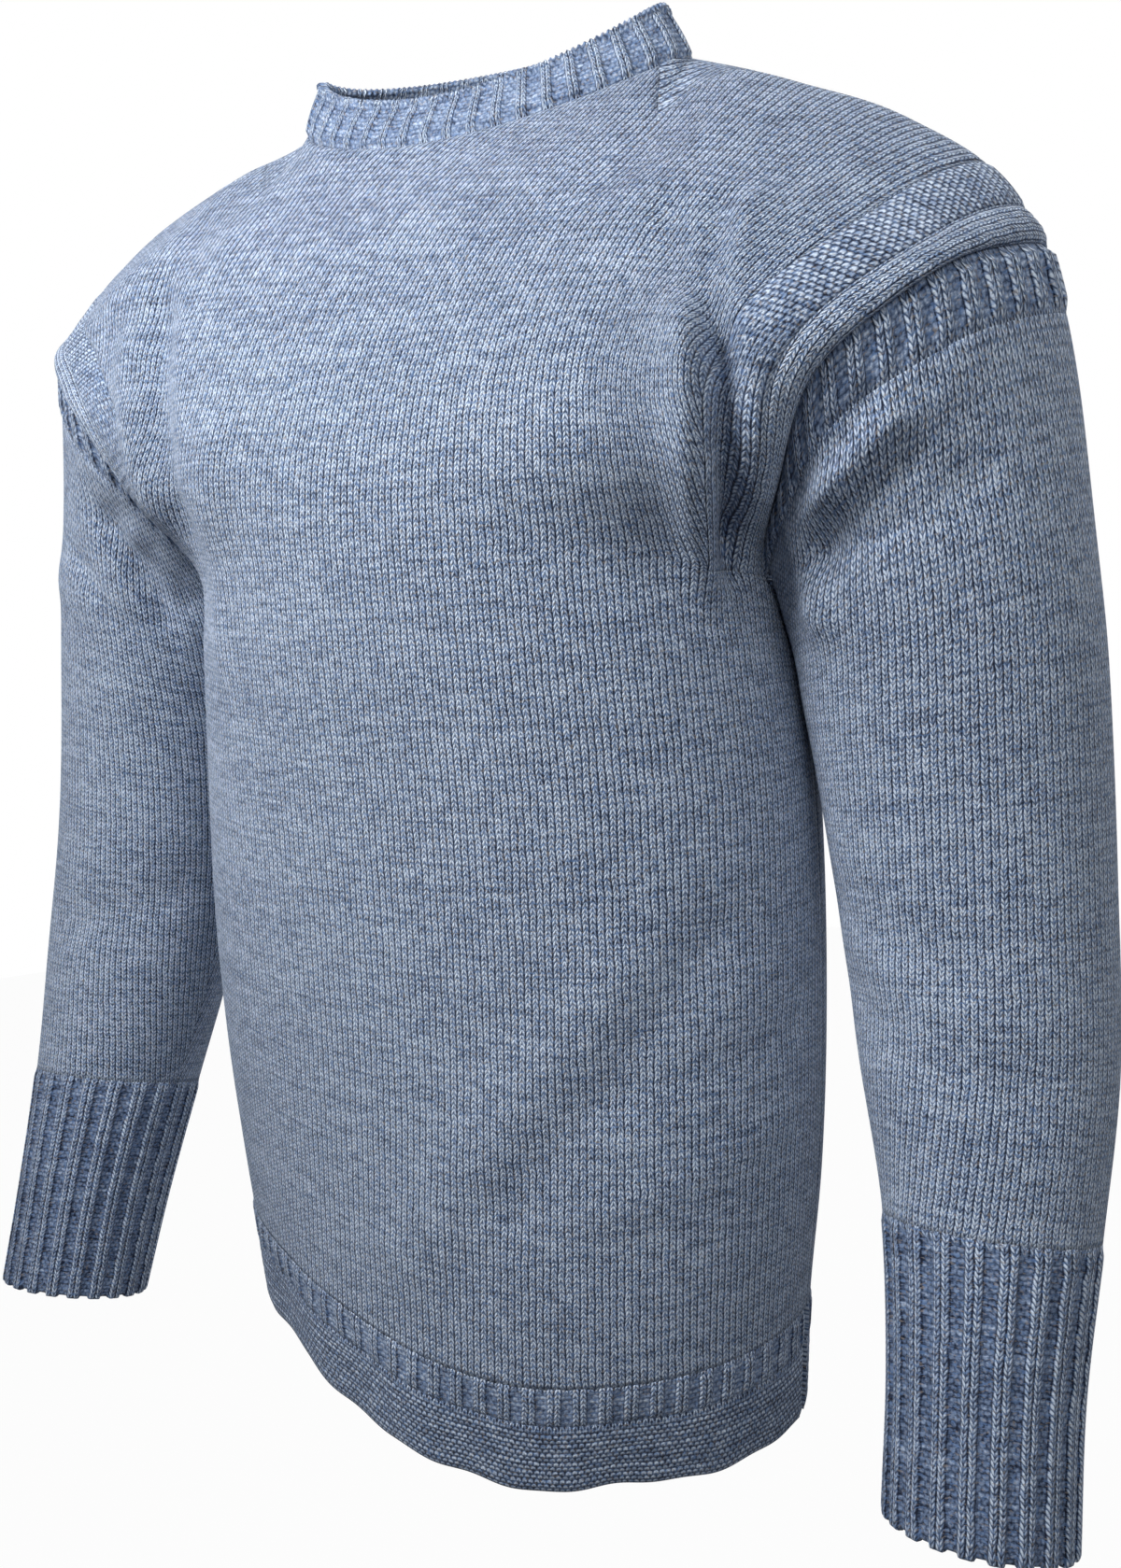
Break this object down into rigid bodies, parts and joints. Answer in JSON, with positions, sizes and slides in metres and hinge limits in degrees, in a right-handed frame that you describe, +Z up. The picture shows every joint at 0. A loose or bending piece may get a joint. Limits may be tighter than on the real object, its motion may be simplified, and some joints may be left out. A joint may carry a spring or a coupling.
{
  "type": "guernsey fisherman sweater",
  "caption": "Hollow wool guernsey sweater in its worn shape: drop shoulders, ribbed collar and cuffs, garter welt with side slits, bands along the armholes.",
  "frame": {"origin": "middle of the neck opening, level with the middle of the collar's seam, where the wearer holds it up", "axes": "+Z up, -Y out of the wearer's front, +X to the wearer's left"},
  "size_m": [0.6836, 0.253, 0.7709],
  "materials": {
    "plain_knit": "heathered blue wool, stocking stitch",
    "rib_knit": "heathered blue wool, two by two rib",
    "garter_knit": "heathered blue wool, garter stitch"
  },
  "bodies": {
    "root": {"front_panel": "plain_knit", "back_panel": "plain_knit", "collar": "rib_knit", "hem_welt_front": "garter_knit", "hem_rib_front": "rib_knit", "hem_welt_back": "garter_knit", "hem_rib_back": "rib_knit", "garter_band_left": "garter_knit", "edge_band_left": "plain_knit", "sleeve_rib_left": "rib_knit", "sleeve_left": "plain_knit", "cuff_left": "rib_knit", "underarm_gusset_left": "plain_knit", "neck_gusset_left": "plain_knit", "garter_band_right": "garter_knit", "edge_band_right": "plain_knit", "sleeve_rib_right": "rib_knit", "sleeve_right": "plain_knit", "cuff_right": "rib_knit", "underarm_gusset_right": "plain_knit", "neck_gusset_right": "plain_knit"}
  },
  "joints": []
}
